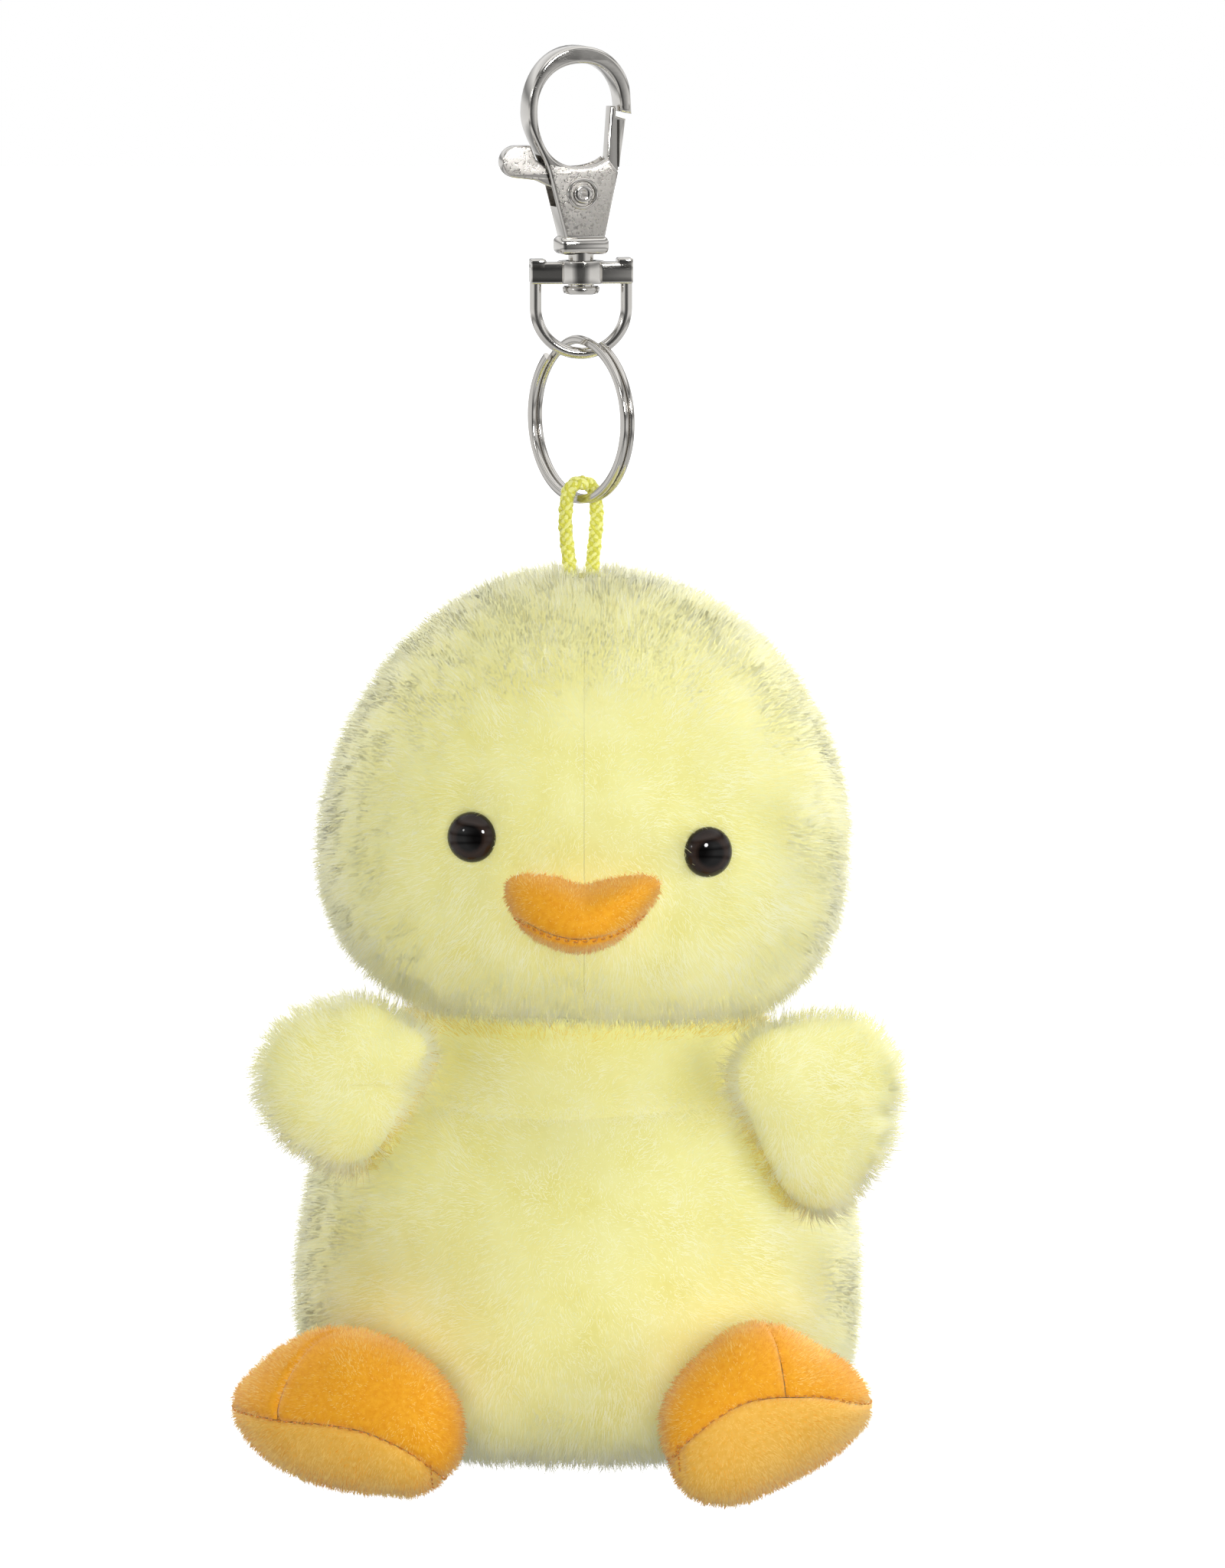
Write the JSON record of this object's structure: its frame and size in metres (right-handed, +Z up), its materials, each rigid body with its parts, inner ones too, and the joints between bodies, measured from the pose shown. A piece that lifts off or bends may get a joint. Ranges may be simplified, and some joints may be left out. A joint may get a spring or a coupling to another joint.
{
  "type": "plush keychain",
  "caption": "Stuffed plush duckling hanging by a cord loop from a split ring, a swivel shackle and a trigger clasp.",
  "frame": {"origin": "highest point inside the clasp's hook, where the keychain hangs", "axes": "+Z up, away from the duckling; -Y towards the duckling's face; +X to the right seen from the front"},
  "size_m": [0.0802, 0.0804, 0.1732],
  "materials": {
    "nickel_plate": "bright nickel plate on cast metal",
    "spring_steel": "nickel-plated wire",
    "braided_cord": "braided polyester",
    "pile_fabric": "short soft pile",
    "velour_fabric": "velour",
    "fibre_filling": "loose polyester fibre",
    "eye_plastic": "polished",
    "washer_plastic": "moulded"
  },
  "bodies": {
    "clasp": {"hook_body": "nickel_plate", "lever_rivet": "nickel_plate", "trigger_spring": "spring_steel", "swivel_post": "nickel_plate"},
    "trigger": {"trigger_lever": "nickel_plate"},
    "shackle": {"swivel_shackle": "nickel_plate"},
    "ring": {"split_ring": "spring_steel"},
    "cord": {"cord_loop": "braided_cord", "cord_knot": "braided_cord"},
    "head": {"head_panel_front_left": "pile_fabric", "head_panel_front_right": "pile_fabric", "head_panel_back_left": "pile_fabric", "head_panel_back_right": "pile_fabric", "head_stuffing": "fibre_filling", "eye_left": "eye_plastic", "eye_right": "eye_plastic", "eye_washer_left": "washer_plastic", "eye_washer_right": "washer_plastic", "bill_upper": "velour_fabric", "bill_lower": "velour_fabric", "bill_stuffing": "fibre_filling"},
    "torso": {"torso_panel_front": "pile_fabric", "torso_panel_back_left": "pile_fabric", "torso_panel_back_right": "pile_fabric", "torso_stuffing": "fibre_filling", "tail": "pile_fabric"},
    "wing_left": {"wing_left_front": "pile_fabric", "wing_left_back": "pile_fabric", "wing_left_stuffing": "fibre_filling"},
    "wing_right": {"wing_right_front": "pile_fabric", "wing_right_back": "pile_fabric", "wing_right_stuffing": "fibre_filling"},
    "foot_left": {"foot_left_upper_outer": "velour_fabric", "foot_left_upper_inner": "velour_fabric", "foot_left_sole": "velour_fabric", "foot_left_stuffing": "fibre_filling"},
    "foot_right": {"foot_right_upper_outer": "velour_fabric", "foot_right_upper_inner": "velour_fabric", "foot_right_sole": "velour_fabric", "foot_right_stuffing": "fibre_filling"}
  },
  "joints": [
    {"name": "trigger_press", "type": "hinge", "parent": "clasp", "child": "trigger", "pos_m": [-0.00038, -0.00011, -0.0157], "axis": [0.284, -0.9588, 0], "range_deg": [0, 22], "stiffness_Nm_per_rad": 0.003, "springref_deg": -17.19, "deforming": ["trigger_spring"]},
    {"name": "shackle_swivel", "type": "hinge", "parent": "clasp", "child": "shackle", "pos_m": [0, 0, -0.0254], "axis": [0, 0, 1], "continuous": true},
    {"name": "ring_swing", "type": "hinge", "parent": "shackle", "child": "ring", "pos_m": [0, 0, -0.0351], "axis": [0.9945, 0.1045, 0], "range_deg": [-60, 60]},
    {"name": "cord_swing", "type": "hinge", "parent": "ring", "child": "cord", "pos_m": [0, 0, -0.05273], "axis": [0.5807, -0.8141, 0], "range_deg": [-45, 45]},
    {"name": "head_tilt", "type": "hinge", "parent": "cord", "child": "head", "pos_m": [0, 0, -0.0622], "axis": [1, 0, 0], "range_deg": [-20, 20]},
    {"name": "neck_flex", "type": "hinge", "parent": "head", "child": "torso", "pos_m": [0, 0.0008, -0.1174], "axis": [1, 0, 0], "range_deg": [-6, 6], "stiffness_Nm_per_rad": 0.05},
    {"name": "wing_left_flap", "type": "hinge", "parent": "torso", "child": "wing_left", "pos_m": [-0.0227, -0.0138, -0.1253], "axis": [0.4876, -0.0685, 0.8704], "range_deg": [-20, 25], "stiffness_Nm_per_rad": 0.008},
    {"name": "wing_right_flap", "type": "hinge", "parent": "torso", "child": "wing_right", "pos_m": [0.02275, -0.015, -0.1286], "axis": [0.3851, 0.054, -0.9213], "range_deg": [-20, 18], "stiffness_Nm_per_rad": 0.008},
    {"name": "foot_left_flex", "type": "hinge", "parent": "torso", "child": "foot_left", "pos_m": [-0.0235, -0.0185, -0.1599], "axis": [0.9136, -0.4067, 0], "range_deg": [-12, 12], "stiffness_Nm_per_rad": 0.01},
    {"name": "foot_right_flex", "type": "hinge", "parent": "torso", "child": "foot_right", "pos_m": [0.018, -0.0205, -0.1603], "axis": [0.9136, 0.4067, 0], "range_deg": [-12, 12], "stiffness_Nm_per_rad": 0.01}
  ]
}
